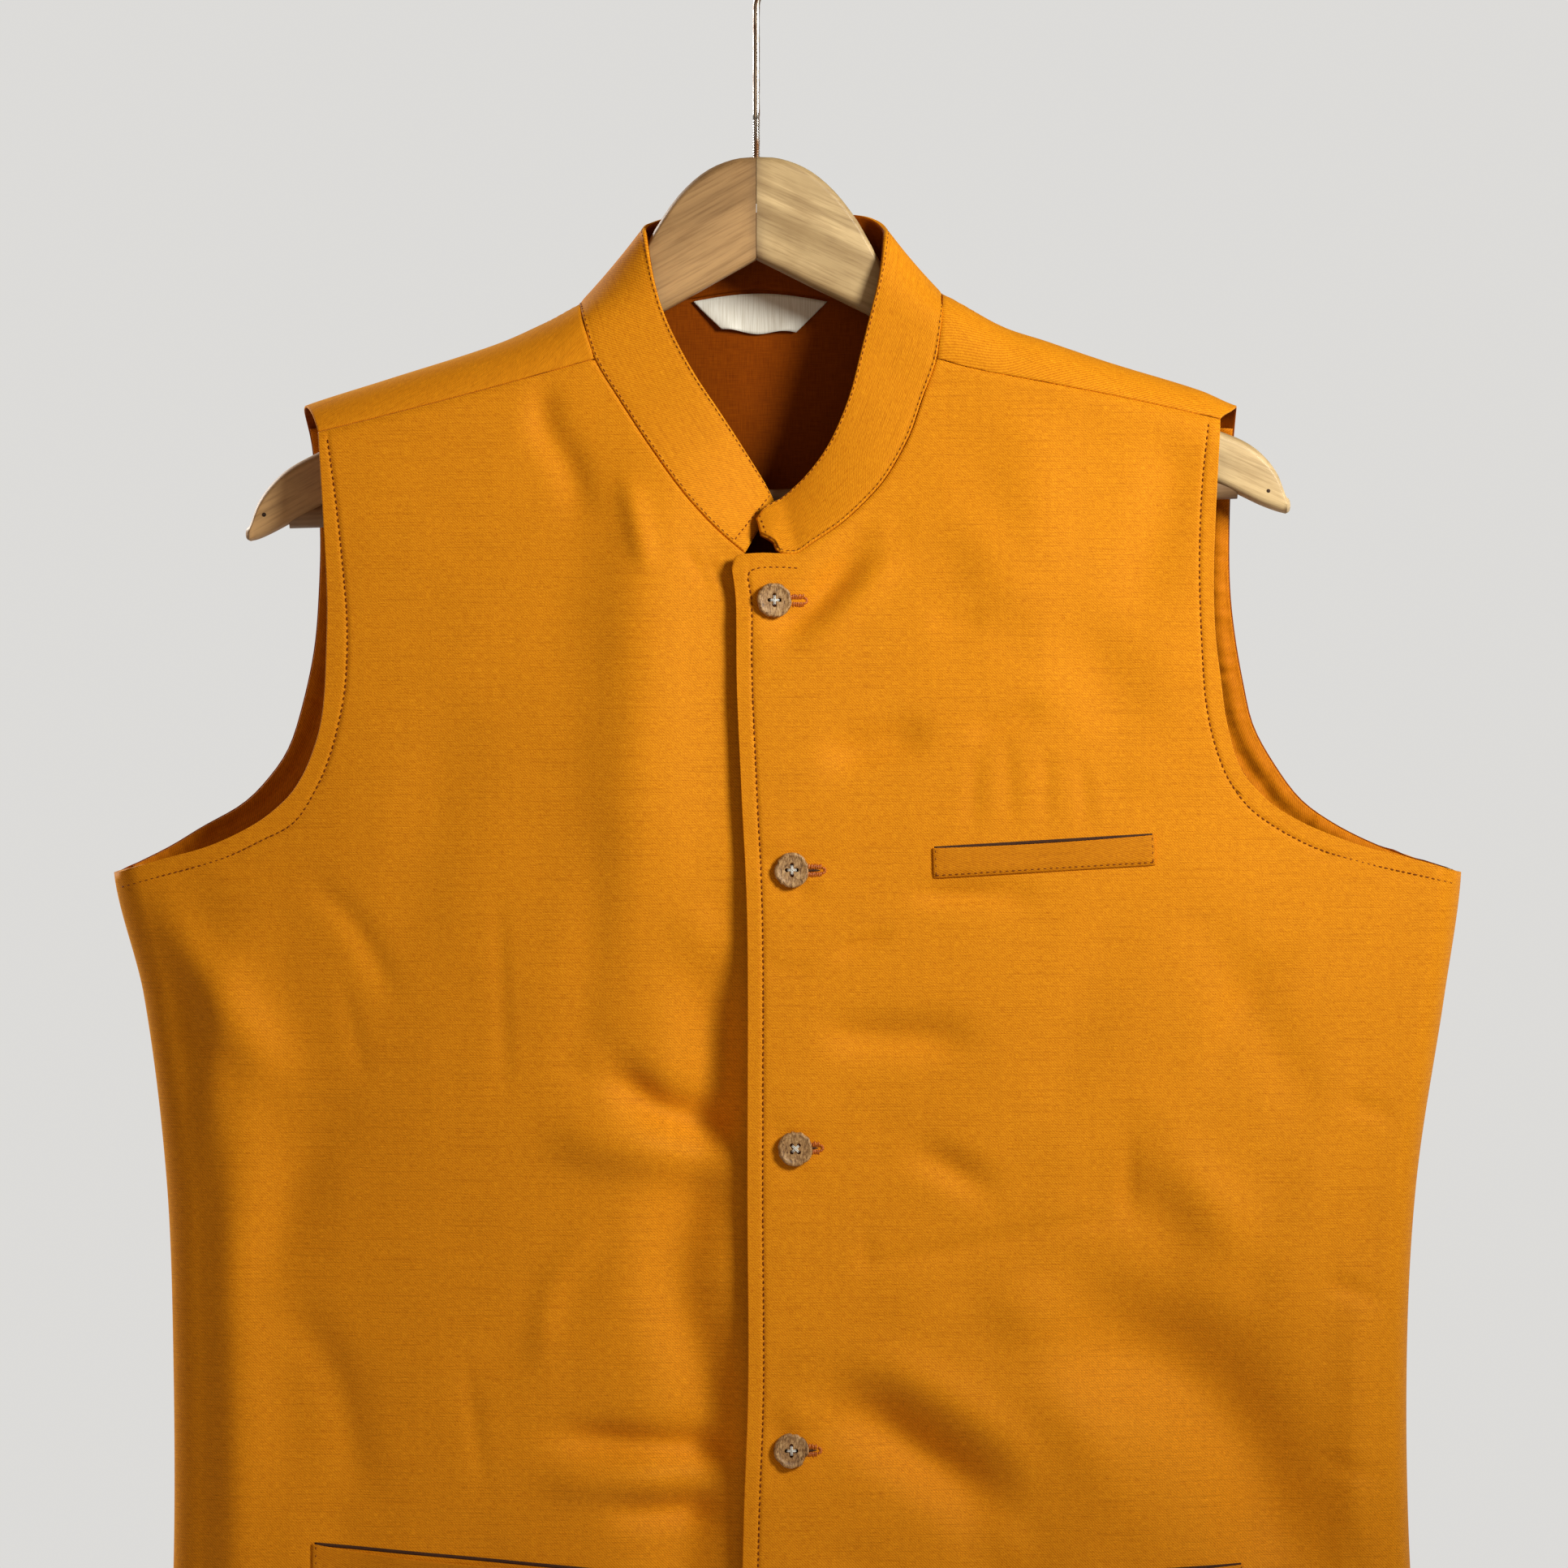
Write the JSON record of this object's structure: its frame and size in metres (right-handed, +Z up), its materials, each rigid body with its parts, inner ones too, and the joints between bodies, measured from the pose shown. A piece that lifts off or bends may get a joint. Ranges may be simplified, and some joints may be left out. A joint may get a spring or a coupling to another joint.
{
  "type": "nehru jacket on a wooden hanger",
  "caption": "Sleeveless stand-collared jacket in orange cloth with a buttoned front, welt pockets and open armholes, hung on a wooden hanger with a wire hook.",
  "frame": {"origin": "inside top of the hook's crook, where it rests on a rail", "axes": "+Z up, +X towards the wearer's left, -Y towards the front of the jacket"},
  "size_m": [0.5773, 0.0897, 0.8749],
  "materials": {
    "cloth": "orange mustard fine twill with slubs",
    "facing": "the same cloth, seen from inside",
    "button": "polished coconut shell with a chipped rim",
    "label": "bare cream satin ribbon",
    "wood": "waxed, with worn dark edges",
    "steel": "plated wire"
  },
  "bodies": {
    "root": {"back": "cloth", "front_right": "cloth", "front_left": "cloth", "collar": "cloth", "welt_chest": "cloth", "welt_lower_left": "cloth", "welt_lower_right": "cloth", "facing_left": "facing", "facing_right": "facing", "label": "label", "button_1": "button", "button_2": "button", "button_3": "button", "button_4": "button", "button_5": "button", "hanger_arm_left": "wood", "hanger_arm_right": "wood", "hanger_bar": "wood", "hanger_hook": "steel"}
  },
  "joints": []
}
